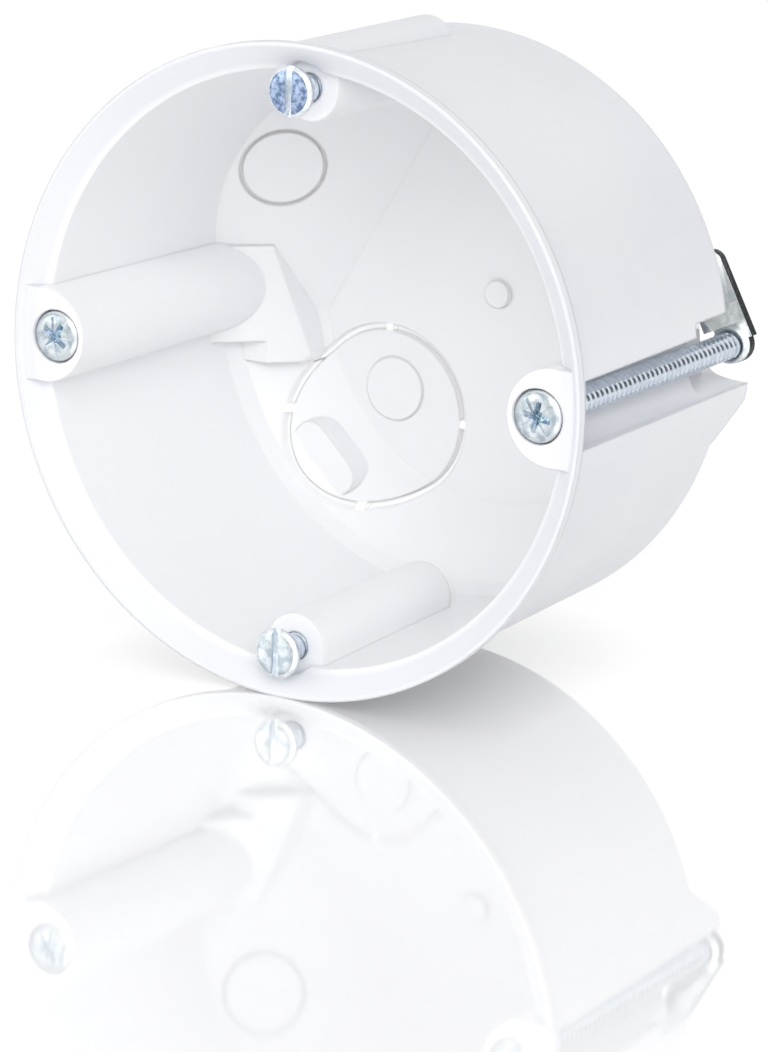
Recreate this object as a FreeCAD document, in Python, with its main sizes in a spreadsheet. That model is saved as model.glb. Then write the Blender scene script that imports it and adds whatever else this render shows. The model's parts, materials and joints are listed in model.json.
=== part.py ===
import FreeCAD, Part
import math
import os
import Sketcher

# Drywall back box for a 68 mm hole, with two clamp claws and two device screws.
# X is to the right, +Y goes into the wall, +Z is up.
# The origin is the centre of the rim, in the plane of its front edge.

DRIVING_SIZES = {
    # rim, barrel and rear
    "flange_radius": 35.0,
    "flange_thick": 1.0,
    "flange_step": 1.3,
    "mouth_step": 0.5,
    "mouth_depth": 2.2,
    "draft": 0.8,
    "depth": 46.0,
    "rear_slope": 9.4,
    "wall": 1.8,
    "inner_corner_bevel": 1.3,
    "outer_corner_bevel": 0.7,
    # flat on the rear slope, which carries the small knock-out
    "facet_angle": 150.0,
    "facet_cut": 5.0,
    # clamp screws, their channels and pockets
    "clamp_inset": 5.2,
    "seat_depth": 2.0,
    "clamp_pad_face": 0.4,
    "channel_floor": 1.6,
    "channel_radius": 3.6,
    "channel_wall": 1.6,
    "channel_offset": 1.6,
    "pocket_angle": 14.8,
    "pocket_reach": 4.0,
    "pocket_wall": 1.25,
    "pocket_top": 8.9,
    "ramp_cut": 13.2,
    "notch_length": 17.1,
    "notch_offset": 0.8,
    "notch_top": 5.1,
    "clamp_head_radius": 2.75,
    "clamp_head_thick": 1.9,
    "clamp_head_gap": 0.2,
    "clamp_screw_radius": 1.5,
    "clamp_tip_gap": 0.4,
    "cross_width": 0.8,
    "cross_length": 3.1,
    "cross_depth": 1.2,
    # fins behind the channels
    "fin_drop": 6.3,
    "fin_tip_drop": 1.1,
    "fin_tip_length": 3.0,
    "fin_hollow": 8.1,
    "fin_hollow_out": 0.1,
    "fin_hollow_back": 4.0,
    # claws
    "claw_back": 2.4,
    "claw_thick": 1.2,
    "claw_hub_radius": 2.1,
    "claw_outer": 2.6,
    "claw_reach": 10.5,
    "claw_root_inner": 1.6,
    "claw_tip_inner": 0.2,
    "claw_taper_start": 3.8,
    "claw_tip_round": 1.5,
    "claw_angle": 28.0,
    "claw_lead_in": 0.25,
    "collar_radius": 2.0,
    "collar_length": 1.0,
    "tab_start": 2.0,
    "tab_end": 4.2,
    "tab_thick": 1.0,
    "tab_length": 7.9,
    # device screws and their bosses
    "device_inset": 5.0,
    "boss_radius": 3.6,
    "boss_face": 3.0,
    "boss_back": 16.7,
    "boss_floor": 7.3,
    "rib_radius": 3.0,
    "rib_step": 1.3,
    "rib_round": 1.6,
    "device_head_radius": 2.7,
    "device_head_thick": 1.8,
    "device_head_rise": 1.1,
    "device_head_gap": 0.2,
    "device_screw_radius": 1.5,
    "device_tip_gap": 6.3,
    "head_dome": 0.3,
    "screw_tip": 0.5,
    "slot_width": 0.75,
    "slot_depth": 0.9,
    "running_gap": 0.05,
    # knock-outs and marks of the mould
    "large_ring_inset": 12.75,
    "large_ring_angle": 225.2,
    "large_ring_radius": 10.0,
    "large_ring_width": 0.7,
    "large_ring_cut": 0.9,
    "small_ring_out": 3.7,
    "small_ring_shift": -0.9,
    "small_ring_radius": 4.8,
    "small_ring_width": 0.4,
    "small_ring_cut": 0.5,
    "bridge_width": 1.0,
    "lug_inset": 5.8,
    "lug_angle": 225.45,
    "lug_half_length": 2.6,
    "lug_radius": 2.2,
    "lug_drop": 7.6,
    "disc_inset": 15.5,
    "disc_angle": 220.6,
    "disc_radius": 3.7,
    "disc_height": 0.35,
    "gate_z": 1.5,
    "gate_radius": 1.6,
    "gate_height": 0.7,
    # how far cutting tools run past what they cut
    "overrun": 4.0,
}

DIAGONAL = math.sqrt(2.0)
MITRE = math.tan(math.radians(22.5))
FULL_TURN = 360.0
QUARTER_TURN = 90.0
# direction of the seam of the turned forms, clear of every other feature
SEAM_TURN = -45.0

DOC = FreeCAD.newDocument("drywall_back_box")
SHEET = DOC.addObject("Spreadsheet::Sheet", "Sizes")
for row, (name, number) in enumerate(DRIVING_SIZES.items(), start=1):
    SHEET.set("A%d" % row, str(number))
    SHEET.setAlias("A%d" % row, name)
DOC.recompute()


class Size:
    """A number together with the sheet expression that gives it."""

    def __init__(self, value, text):
        self.value = value
        self.text = text

    def join(self, sign, other, value):
        text = other.text if isinstance(other, Size) else repr(float(other))
        return Size(value, "(%s %s %s)" % (self.text, sign, text))

    def __add__(self, other):
        return self.join("+", other, self.value + number_of(other))

    def __sub__(self, other):
        return self.join("-", other, self.value - number_of(other))

    def __mul__(self, other):
        return self.join("*", other, self.value * number_of(other))

    def __truediv__(self, other):
        return self.join("/", other, self.value / number_of(other))

    def __neg__(self):
        return Size(-self.value, "(0 - %s)" % self.text)


def number_of(size):
    return size.value if isinstance(size, Size) else float(size)


def sized(name):
    return Size(float(SHEET.get(name)), "Sizes." + name)


NOTHING = Size(0.0, "0")


def polar_point(out, angle):
    """X and Z of a point at a distance from the axis, at an angle up from X."""
    turn = math.radians(angle.value)
    place = "(%s * %s(%s * 1 deg))"
    return (Size(out.value * math.cos(turn), place % (out.text, "cos", angle.text)),
            Size(out.value * math.sin(turn), place % (out.text, "sin", angle.text)))


def bind(owner, path, size):
    """Ties one property to the sheet."""
    owner.setExpression(path, size.text)


# Sketches

def origin_part(body, role):
    for feature in body.Origin.OriginFeatures:
        if feature.Role == role:
            return feature
    raise ValueError("no origin feature " + role)


def new_sketch(body, label, role, shift=NOTHING):
    """A sketch on one of the body's own planes, moved along the plane's normal."""
    sketch = body.newObject("Sketcher::SketchObject", label)
    sketch.AttachmentSupport = [(origin_part(body, role), "")]
    sketch.MapMode = "FlatFace"
    bind(sketch, "AttachmentOffset.Base.z", shift)
    return sketch


def depth_sketch(body, label, depth=NOTHING, turn=0.0):
    """A sketch across the box, at a depth behind the rim: x is X and y is Z, unless turned."""
    sketch = new_sketch(body, label, "XZ_Plane", -depth)
    sketch.AttachmentOffset = FreeCAD.Placement(
        sketch.AttachmentOffset.Base, FreeCAD.Rotation(FreeCAD.Vector(0, 0, 1), turn))
    return sketch


def move_sketch(sketch, x, y):
    """Moves a sketch in its own plane."""
    bind(sketch, "AttachmentOffset.Base.x", x)
    bind(sketch, "AttachmentOffset.Base.y", y)


def fix_point(sketch, shape, end, x, y):
    for kind, size in (("DistanceX", x), ("DistanceY", y)):
        rule = Sketcher.Constraint(kind, -1, 1, shape, end, size.value)
        bind(sketch, "Constraints[%d]" % sketch.addConstraint(rule), size)


def fix_radius(sketch, shape, radius):
    rule = Sketcher.Constraint("Radius", shape, radius.value)
    bind(sketch, "Constraints[%d]" % sketch.addConstraint(rule), radius)


def flat_point(x, y):
    return FreeCAD.Vector(x.value, y.value, 0)


def draw_polygon(sketch, corners):
    lines = []
    for here, there in zip(corners, corners[1:] + corners[:1]):
        lines.append(sketch.addGeometry(Part.LineSegment(flat_point(*here), flat_point(*there))))
    for line, before in zip(lines, lines[-1:] + lines[:-1]):
        sketch.addConstraint(Sketcher.Constraint("Coincident", before, 2, line, 1))
    for line, corner in zip(lines, corners):
        fix_point(sketch, line, 1, *corner)


def draw_rectangle(sketch, low_x, high_x, low_y, high_y):
    draw_polygon(sketch, [(low_x, low_y), (high_x, low_y), (high_x, high_y), (low_x, high_y)])


def draw_circle(sketch, x, y, radius):
    circle = Part.Circle(flat_point(x, y), FreeCAD.Vector(0, 0, 1), radius.value)
    shape = sketch.addGeometry(circle)
    fix_point(sketch, shape, 3, x, y)
    fix_radius(sketch, shape, radius)


def draw_half_circle(sketch, x, y, radius, start_degrees):
    """A half circle, turning left from its start angle."""
    circle = Part.Circle(flat_point(x, y), FreeCAD.Vector(0, 0, 1), radius.value)
    start = math.radians(start_degrees)
    shape = sketch.addGeometry(Part.ArcOfCircle(circle, start, start + math.pi))
    fix_point(sketch, shape, 3, x, y)
    fix_radius(sketch, shape, radius)
    return shape


def fix_one_way(sketch, kind, shape, end, size):
    rule = Sketcher.Constraint(kind, -1, 1, shape, end, size.value)
    bind(sketch, "Constraints[%d]" % sketch.addConstraint(rule), size)


def draw_arch(sketch, centre_x, radius, far_x):
    """A channel's section with a round end, open towards the sketch's +x."""
    arc = draw_half_circle(sketch, centre_x, NOTHING, radius, 90)
    upper = Part.LineSegment(flat_point(far_x, radius), flat_point(centre_x, radius))
    lower = Part.LineSegment(flat_point(centre_x, -radius), flat_point(far_x, -radius))
    mouth = Part.LineSegment(flat_point(far_x, -radius), flat_point(far_x, radius))
    upper, lower, mouth = [sketch.addGeometry(line) for line in (upper, lower, mouth)]
    for first, second in (((upper, 2), (arc, 1)), ((arc, 2), (lower, 1)),
                          ((lower, 2), (mouth, 1)), ((mouth, 2), (upper, 1))):
        sketch.addConstraint(Sketcher.Constraint("Coincident", *first, *second))
    fix_one_way(sketch, "DistanceX", arc, 1, centre_x)
    fix_one_way(sketch, "DistanceX", arc, 2, centre_x)
    fix_point(sketch, mouth, 1, far_x, -radius)
    fix_point(sketch, mouth, 2, far_x, radius)


def draw_long_round(sketch, half_length, radius):
    """An oblong with round ends, along the sketch's own x."""
    right = draw_half_circle(sketch, half_length, NOTHING, radius, -90)
    left = draw_half_circle(sketch, -half_length, NOTHING, radius, 90)
    top = Part.LineSegment(flat_point(half_length, radius), flat_point(-half_length, radius))
    low = Part.LineSegment(flat_point(-half_length, -radius), flat_point(half_length, -radius))
    top, low = [sketch.addGeometry(line) for line in (top, low)]
    for first, second in (((right, 2), (top, 1)), ((top, 2), (left, 1)),
                          ((left, 2), (low, 1)), ((low, 2), (right, 1))):
        sketch.addConstraint(Sketcher.Constraint("Coincident", *first, *second))
    for arc, size in ((right, half_length), (left, -half_length)):
        fix_one_way(sketch, "DistanceX", arc, 1, size)
        fix_one_way(sketch, "DistanceX", arc, 2, size)


# Features

def new_body(label):
    return DOC.addObject("PartDesign::Body", label)


def pad(body, sketch, length):
    """Adds the sketch's shape, deeper into the wall than the sketch."""
    feature = body.newObject("PartDesign::Pad", sketch.Name + "_pad")
    feature.Profile = sketch
    feature.Reversed = sketch_faces_front(sketch)
    bind(feature, "Length", length)
    return checked(feature, grows=True)


def pocket(body, sketch, length):
    """Cuts the sketch's shape, deeper into the wall than the sketch."""
    feature = body.newObject("PartDesign::Pocket", sketch.Name + "_cut")
    feature.Profile = sketch
    feature.Reversed = not sketch_faces_front(sketch)
    bind(feature, "Length", length)
    return checked(feature, grows=False)


def pad_up(body, sketch, length):
    """Adds the shape of a sketch along the normal of its own plane."""
    feature = body.newObject("PartDesign::Pad", sketch.Name + "_pad")
    feature.Profile = sketch
    bind(feature, "Length", length)
    return checked(feature, grows=True)


def pocket_both_ways(body, sketch, length):
    feature = body.newObject("PartDesign::Pocket", sketch.Name + "_cut")
    feature.Profile = sketch
    feature.Midplane = True
    bind(feature, "Length", length)
    return checked(feature, grows=False)


def turned_sketch(body, label, degrees):
    """A sketch on a plane through the Y axis: its x points right, turned up by an angle."""
    sketch = new_sketch(body, label, "XY_Plane")
    turn = FreeCAD.Rotation(FreeCAD.Vector(0, 1, 0), -degrees)
    sketch.AttachmentOffset = FreeCAD.Placement(FreeCAD.Vector(), turn)
    return sketch


def revolve(body, sketch, kind="PartDesign::Revolution"):
    """Turns a sketch about the body's Y axis."""
    feature = body.newObject(kind, sketch.Name + "_turn")
    feature.Profile = sketch
    feature.ReferenceAxis = (origin_part(body, "Y_Axis"), [""])
    feature.Angle = FULL_TURN
    DOC.recompute()
    return feature


def turn_copy(body, label, features, count=2):
    """Repeats features about the Y axis, evenly spaced."""
    pattern = body.newObject("PartDesign::PolarPattern", label)
    pattern.Originals = features
    pattern.Axis = (origin_part(body, "Y_Axis"), [""])
    pattern.Angle = FULL_TURN
    pattern.Occurrences = count
    body.Tip = pattern
    DOC.recompute()
    return pattern


def dress_edges(body, label, wanted, size, kind="PartDesign::Fillet", size_name="Radius"):
    """Rounds the tip's edges that the test picks out, or bevels them."""
    base = body.Tip
    names = ["Edge%d" % (number + 1) for number, edge in enumerate(base.Shape.Edges) if wanted(edge)]
    if not names:
        raise ValueError(label + " finds no edge")
    feature = body.newObject(kind, label)
    feature.Base = (base, names)
    bind(feature, size_name, size)
    DOC.recompute()
    return feature


def sketch_faces_front(sketch):
    DOC.recompute()
    return sketch.Placement.Rotation.multVec(FreeCAD.Vector(0, 0, 1)).y < -0.5


def checked(feature, grows):
    """Stops where an addition adds nothing or a cut takes nothing away."""
    before = feature.BaseFeature.Shape.Volume if feature.BaseFeature else 0.0
    DOC.recompute()
    change = feature.Shape.Volume - before
    if (change if grows else -change) < 1e-3:
        raise ValueError(feature.Label + " changes nothing")
    return feature


def circle_at(edge, radius, depth):
    """Is this edge a circle about the Y axis, of this radius at this depth?"""
    curve = edge.Curve
    return (isinstance(curve, Part.Circle) and abs(curve.Radius - radius.value) < 1e-3
            and abs(curve.Center.y - depth.value) < 1e-3)


# The box: outer form, cavity and the two put together

barrel_radius = sized("flange_radius") - sized("flange_step")
rear_radius = barrel_radius - sized("draft")
corner_depth = sized("depth") - sized("rear_slope")
base_radius = rear_radius - sized("rear_slope")
facet_sum = rear_radius + corner_depth - sized("facet_cut")
mouth_radius = sized("flange_radius") - sized("mouth_step")
throat_radius = barrel_radius - sized("wall")
inner_base = sized("depth") - sized("wall")
inner_base_radius = base_radius - sized("wall") * MITRE
inner_rear_radius = rear_radius - sized("wall")
inner_corner = corner_depth - sized("wall") * MITRE
inner_facet_sum = facet_sum - sized("wall") * DIAGONAL
far_out = sized("flange_radius") + sized("overrun")
far_back = sized("depth") + sized("overrun")
clamp_x = sized("flange_radius") - sized("clamp_inset")
channel_centre = clamp_x + sized("channel_offset")
channel_start = sized("seat_depth") + sized("channel_floor")
tunnel_radius = sized("channel_radius") + sized("channel_wall")
pocket_ramp = clamp_x + sized("depth") - sized("ramp_cut")
clamp_hole_radius = sized("clamp_screw_radius") + sized("running_gap")
device_z = sized("flange_radius") - sized("device_inset")
device_hole_radius = sized("device_screw_radius") + sized("running_gap")
boss_end = sized("depth") - sized("boss_back")
rib_end = boss_end - sized("rib_step")
device_hole_end = boss_end - sized("boss_floor")


def add_outer_form(body):
    profile = turned_sketch(body, "outer_profile", SEAM_TURN)
    draw_polygon(profile, [
        (NOTHING, NOTHING),
        (sized("flange_radius"), NOTHING),
        (sized("flange_radius"), sized("flange_thick")),
        (barrel_radius, sized("flange_thick")),
        (rear_radius, corner_depth),
        (base_radius, sized("depth")),
        (NOTHING, sized("depth")),
    ])
    revolve(body, profile)
    cut_facet(body, facet_sum)
    dress_edges(body, "outer_corner_bevel",
                lambda edge: circle_at(edge, rear_radius, corner_depth),
                sized("outer_corner_bevel"), "PartDesign::Chamfer", "Size")


def cut_facet(body, facet_sum):
    """Cuts the flat across the rear slope: distance out plus depth is constant on it."""
    sketch = turned_sketch(body, "facet_section", sized("facet_angle").value)
    draw_polygon(sketch, [
        (facet_sum - far_back, far_back),
        (far_out, facet_sum - far_out),
        (far_out, far_back),
    ])
    pocket_both_ways(body, sketch, far_out * 2)


def add_cavity_core():
    """The space inside the box, as a solid: what stands up inside the box is cut from it."""
    core = new_body("cavity_core")
    mouth_slope = (mouth_radius - throat_radius) / sized("mouth_depth")
    profile = turned_sketch(core, "cavity_profile", SEAM_TURN)
    draw_polygon(profile, [
        (NOTHING, -sized("overrun")),
        (mouth_radius + mouth_slope * sized("overrun"), -sized("overrun")),
        (throat_radius, sized("mouth_depth")),
        (inner_rear_radius, inner_corner),
        (inner_base_radius, inner_base),
        (NOTHING, inner_base),
    ])
    revolve(core, profile)
    cut_facet(core, inner_facet_sum)
    dress_edges(core, "inner_corner_bevel",
                lambda edge: circle_at(edge, inner_rear_radius, inner_corner),
                sized("inner_corner_bevel"), "PartDesign::Chamfer", "Size")

    tunnel = depth_sketch(core, "tunnel_section", sized("clamp_pad_face"))
    draw_arch(tunnel, channel_centre, tunnel_radius, far_out)
    tunnel_cut = pocket(core, tunnel, far_back)
    boss = depth_sketch(core, "boss_section", sized("boss_face"), QUARTER_TURN)
    draw_arch(boss, device_z, sized("boss_radius"), far_out)
    boss_cut = pocket(core, boss, boss_end - sized("boss_face"))
    turn_copy(core, "both_sides", [tunnel_cut, boss_cut])
    cut_away(core, "clamp_humps", add_pocket_tool("clamp_hump", sized("pocket_wall")))

    lug = depth_sketch(core, "lug_section", sized("depth") - sized("lug_drop"),
                       sized("lug_angle").value - QUARTER_TURN)
    move_sketch(lug, *polar_point(rear_radius - sized("lug_inset"), sized("lug_angle")))
    draw_long_round(lug, sized("lug_half_length"), sized("lug_radius"))
    pocket(core, lug, far_back)
    disc = depth_sketch(core, "disc_section", inner_base - sized("disc_height"))
    disc_x, disc_z = polar_point(rear_radius - sized("disc_inset"), sized("disc_angle"))
    draw_circle(disc, disc_x, disc_z, sized("disc_radius"))
    pocket(core, disc, far_back)
    gate = depth_sketch(core, "gate_section", inner_base - sized("gate_height"))
    draw_circle(gate, NOTHING, sized("gate_z"), sized("gate_radius"))
    pocket(core, gate, far_back)
    return core


def add_pocket_tool(label, skin):
    """The space for both claws, grown by a skin: its inner wall leans as the claws do."""
    tool = new_body(label)
    lean = math.radians(sized("pocket_angle").value)
    ramp = pocket_ramp + (sized("pocket_wall") - skin) * DIAGONAL
    inner = clamp_x - (sized("pocket_reach") + skin) / math.cos(lean)
    low = -sized("channel_radius") - skin
    front = ramp - far_out
    pads = []
    for name, start, top in (("_shallow", front, sized("notch_top") + skin),
                             ("_deep", corner_depth + sized("pocket_wall") - skin,
                              sized("pocket_top") - sized("pocket_wall") + skin)):
        section = depth_sketch(tool, label + name, start)
        draw_polygon(section, [
            (inner - low * math.tan(lean), low),
            (far_out, low),
            (far_out, top),
            (inner - top * math.tan(lean), top),
        ])
        pads.append(pad(tool, section, far_back - start))
    slope = new_sketch(tool, label + "_ramp", "XY_Plane")
    draw_polygon(slope, [
        (ramp - far_back, far_back),
        (ramp - far_back, front),
        (far_out, front),
    ])
    slope_cut = pocket_both_ways(tool, slope, far_out)
    turn_copy(tool, label + "_pair", pads + [slope_cut])
    return tool


def add_screw_ribs(body):
    """The rounded ribs outside the device screws' bosses."""
    rib = depth_sketch(body, "rib_section", sized("flange_thick"), QUARTER_TURN * 3)
    draw_arch(rib, sized("rib_radius") - sized("flange_radius"), sized("rib_radius"), -device_z)
    rib_pad = pad(body, rib, rib_end - sized("flange_thick"))
    turn_copy(body, "both_ribs", [rib_pad])
    dress_edges(body, "rib_end_round",
                lambda edge: circle_at(edge, sized("rib_radius"), rib_end), sized("rib_round"))


def add_fins(body):
    """One fin behind each clamp channel, on the side away from the claw, in line with the barrel."""
    fins = new_body("fins")
    root = corner_depth - sized("wall") / 2
    low = -sized("channel_radius")
    side = new_sketch(fins, "fin_side", "YZ_Plane", inner_base_radius)
    draw_polygon(side, [
        (root, low),
        (root, low - sized("fin_drop")),
        (sized("depth") - sized("fin_tip_length"), low - sized("fin_tip_drop")),
        (sized("depth"), low - sized("fin_tip_drop")),
        (sized("depth"), low),
    ])
    side_pad = pad_up(fins, side, far_out - inner_base_radius)
    turn_copy(fins, "both_fins", [side_pad])
    outside = turned_sketch(fins, "fin_outside", SEAM_TURN)
    draw_rectangle(outside, rear_radius, far_out * 2, NOTHING, far_back)
    revolve(fins, outside, "PartDesign::Groove")
    hollow = new_sketch(fins, "fin_hollow", "XY_Plane")
    for sign in (1, -1):
        draw_circle(hollow, (rear_radius + sized("fin_hollow_out")) * sign,
                    sized("depth") + sized("fin_hollow_back"), sized("fin_hollow"))
    pocket_both_ways(fins, hollow, far_out * 2)
    join(body, "box_and_fins", fins, "Fuse")


def add_clamp_side(body):
    """The channels, notches and pockets of both clamp screws."""
    channel = depth_sketch(body, "channel_section", channel_start)
    draw_arch(channel, channel_centre, sized("channel_radius"), far_out)
    channel_cut = pocket(body, channel, far_back)
    notch = depth_sketch(body, "notch_section", sized("depth") - sized("notch_length"))
    draw_rectangle(notch, clamp_x + sized("notch_offset"), far_out, NOTHING, sized("notch_top"))
    notch_cut = pocket(body, notch, far_back)
    turn_copy(body, "both_channels", [channel_cut, notch_cut])
    cut_away(body, "clamp_pockets", add_pocket_tool("clamp_pocket", NOTHING))


def cut_screw_holes(body):
    front = -sized("overrun")
    seat = depth_sketch(body, "clamp_seat", front)
    draw_circle(seat, clamp_x, NOTHING, sized("clamp_head_radius") + sized("clamp_head_gap"))
    seat_cut = pocket(body, seat, sized("seat_depth") - front)
    hole = depth_sketch(body, "clamp_hole", front)
    draw_circle(hole, clamp_x, NOTHING, clamp_hole_radius)
    hole_cut = pocket(body, hole, channel_start + sized("channel_wall") - front)
    room = depth_sketch(body, "device_head_room", front)
    draw_circle(room, NOTHING, device_z, sized("device_head_radius") + sized("device_head_gap"))
    room_cut = pocket(body, room, sized("boss_face") - front)
    screw_hole = depth_sketch(body, "device_hole", front)
    draw_circle(screw_hole, NOTHING, device_z, device_hole_radius)
    screw_hole_cut = pocket(body, screw_hole, device_hole_end - front)
    turn_copy(body, "all_screw_holes", [seat_cut, hole_cut, room_cut, screw_hole_cut])


def join(body, label, tool, kind):
    feature = body.newObject("PartDesign::Boolean", label)
    feature.Type = kind
    feature.setObjects([tool])
    body.Tip = feature
    DOC.recompute()
    return feature


def cut_away(body, label, tool):
    return join(body, label, tool, "Cut")


def add_ring_cutter():
    """The score line round the large knock-out: it follows base and slope at an even depth."""
    cutter = new_body("large_ring_cutter")
    cut = sized("large_ring_cut")
    profile = turned_sketch(cutter, "score_profile", SEAM_TURN)
    draw_polygon(profile, [
        (NOTHING, inner_corner - sized("overrun")),
        (inner_rear_radius + cut, inner_corner - sized("overrun")),
        (inner_rear_radius + cut, inner_corner + cut * MITRE),
        (inner_base_radius + cut * MITRE, inner_base + cut),
        (NOTHING, inner_base + cut),
    ])
    revolve(cutter, profile)
    start = inner_corner - sized("overrun") * 2
    outside = depth_sketch(cutter, "outside_ring", start)
    x, z = polar_point(rear_radius - sized("large_ring_inset"), sized("large_ring_angle"))
    radius = sized("large_ring_radius")
    draw_circle(outside, x, z, radius + sized("large_ring_width") / 2)
    draw_circle(outside, x, z, far_out * 2)
    pocket(cutter, outside, far_back)
    inside = depth_sketch(cutter, "inside_ring", start)
    draw_circle(inside, x, z, radius - sized("large_ring_width") / 2)
    pocket(cutter, inside, far_back)
    bridge = depth_sketch(cutter, "bridges", start)
    half = sized("bridge_width") / 2
    draw_rectangle(bridge, x - far_out, x + far_out, z - half, z + half)
    pocket(cutter, bridge, far_back)
    upright = depth_sketch(cutter, "upright_bridges", start)
    draw_rectangle(upright, x - half, x + half, z - far_out, z + far_out)
    pocket(cutter, upright, far_back)
    return cutter


def cut_small_ring(body):
    """The score line round the small knock-out, square to the flat on the slope."""
    turn = sized("facet_angle").value
    out = (base_radius + sized("small_ring_out")).value
    radial = FreeCAD.Vector(math.cos(math.radians(turn)), 0, math.sin(math.radians(turn)))
    along = FreeCAD.Vector(-radial.z, 0, radial.x)
    outwards = radial + FreeCAD.Vector(0, 1, 0)
    centre = radial * out + FreeCAD.Vector(0, inner_facet_sum.value - out, 0)
    centre += along * sized("small_ring_shift").value
    ring = body.newObject("Sketcher::SketchObject", "small_ring")
    ring.AttachmentSupport = [(origin_part(body, "XY_Plane"), "")]
    ring.MapMode = "FlatFace"
    ring.AttachmentOffset = FreeCAD.Placement(centre, FreeCAD.Rotation(along, FreeCAD.Vector(), outwards, "ZXY"))
    half = sized("small_ring_width") / 2
    draw_circle(ring, NOTHING, NOTHING, sized("small_ring_radius") + half)
    draw_circle(ring, NOTHING, NOTHING, sized("small_ring_radius") - half)
    feature = body.newObject("PartDesign::Pocket", "small_ring_cut")
    feature.Profile = ring
    feature.Reversed = True
    bind(feature, "Length", sized("small_ring_cut"))
    return checked(feature, grows=False)


def build_box():
    body = new_body("box_body")
    add_outer_form(body)
    add_screw_ribs(body)
    add_fins(body)
    add_clamp_side(body)
    cut_away(body, "cavity", add_cavity_core())
    cut_screw_holes(body)
    cut_away(body, "large_knock_out", add_ring_cutter())
    cut_small_ring(body)
    return body


# Screws, about their own axis with the head's face at y = 0

def screw_profile(body, head_radius, head_thick, shank_radius, length):
    profile = new_sketch(body, body.Name + "_profile", "XY_Plane")
    tip = sized("screw_tip")
    dome = sized("head_dome")
    draw_polygon(profile, [
        (NOTHING, NOTHING),
        (head_radius - dome * 2, NOTHING),
        (head_radius, dome),
        (head_radius, head_thick),
        (shank_radius, head_thick),
        (shank_radius, length - tip),
        (shank_radius - tip, length),
        (NOTHING, length),
    ])
    revolve(body, profile)


def build_clamp_screw(label):
    body = new_body(label)
    head_face = sized("seat_depth") - sized("clamp_head_thick")
    screw_profile(body, sized("clamp_head_radius"), sized("clamp_head_thick"),
                  sized("clamp_screw_radius"), sized("depth") - sized("clamp_tip_gap") - head_face)
    for name, across, along in (("level", "cross_length", "cross_width"),
                                ("upright", "cross_width", "cross_length")):
        slot = depth_sketch(body, label + "_" + name)
        half_x, half_z = sized(across) / 2, sized(along) / 2
        draw_rectangle(slot, -half_x, half_x, -half_z, half_z)
        pocket(body, slot, sized("cross_depth"))
    return body


def build_device_screw(label):
    body = new_body(label)
    screw_profile(body, sized("device_head_radius"), sized("device_head_thick"),
                  sized("device_screw_radius"),
                  device_hole_end - sized("device_tip_gap") + sized("device_head_rise"))
    slot = depth_sketch(body, label + "_slot")
    half = sized("slot_width") / 2
    draw_rectangle(slot, -half, half, -sized("device_head_radius"), sized("device_head_radius"))
    pocket(body, slot, sized("slot_depth"))
    return body


# Claws, about the screw's axis with the leaf along +Z and its front face at y = 0

def build_claw(label):
    body = new_body(label)
    hub = depth_sketch(body, label + "_hub")
    draw_circle(hub, NOTHING, NOTHING, sized("claw_hub_radius"))
    pad(body, hub, sized("claw_thick"))
    leaf = depth_sketch(body, label + "_leaf")
    draw_polygon(leaf, [
        (-sized("claw_root_inner"), NOTHING),
        (sized("claw_outer"), NOTHING),
        (sized("claw_outer"), sized("claw_reach")),
        (-sized("claw_tip_inner"), sized("claw_reach")),
        (-sized("claw_root_inner"), sized("claw_taper_start")),
    ])
    pad(body, leaf, sized("claw_thick"))
    reach = sized("claw_reach").value

    def tip_corner(edge):
        along = edge.tangentAt(edge.FirstParameter)
        return abs(along.y) > 0.99 and abs(edge.CenterOfMass.z - reach) < 1e-3
    dress_edges(body, label + "_tip_round", tip_corner, sized("claw_tip_round"))
    tab = depth_sketch(body, label + "_tab", -sized("tab_length"))
    draw_rectangle(tab, sized("claw_outer") - sized("tab_thick"), sized("claw_outer"),
                   sized("tab_start"), sized("tab_end"))
    pad(body, tab, sized("tab_length") + sized("claw_thick"))
    collar = depth_sketch(body, label + "_collar", -sized("collar_length"))
    draw_circle(collar, NOTHING, NOTHING, sized("collar_radius"))
    pad(body, collar, sized("collar_length") + sized("claw_thick"))
    hole = depth_sketch(body, label + "_hole", -sized("collar_length"))
    draw_circle(hole, NOTHING, NOTHING, clamp_hole_radius)
    pocket(body, hole, sized("collar_length") + sized("claw_thick"))
    dress_edges(body, label + "_lead_in",
                lambda edge: circle_at(edge, clamp_hole_radius, -sized("collar_length")),
                sized("claw_lead_in"), "PartDesign::Chamfer", "Size")
    return body


def set_place(body, x, y, z, turn=0.0):
    """Turns a body about Y, then moves it, with its place tied to the sheet."""
    body.Placement = FreeCAD.Placement(
        FreeCAD.Vector(x.value, y.value, z.value), FreeCAD.Rotation(FreeCAD.Vector(0, 1, 0), turn))
    for axis, size in (("x", x), ("y", y), ("z", z)):
        bind(body, "Placement.Base." + axis, size)


def build_all():
    pieces = [build_box()]
    clamp_face = sized("seat_depth") - sized("clamp_head_thick")
    lean = sized("claw_angle").value
    for side, sign, turn in (("right", 1, 0.0), ("left", -1, 180.0)):
        screw = build_clamp_screw("clamp_screw_" + side)
        set_place(screw, clamp_x * sign, clamp_face, NOTHING, turn)
        claw = build_claw("claw_" + side)
        set_place(claw, clamp_x * sign, sized("depth") - sized("claw_back"), NOTHING, turn - lean)
        pieces += [screw, claw]
    for side, sign in (("top", 1), ("bottom", -1)):
        screw = build_device_screw("device_screw_" + side)
        set_place(screw, NOTHING, -sized("device_head_rise"), device_z * sign)
        pieces.append(screw)
    return pieces


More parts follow.
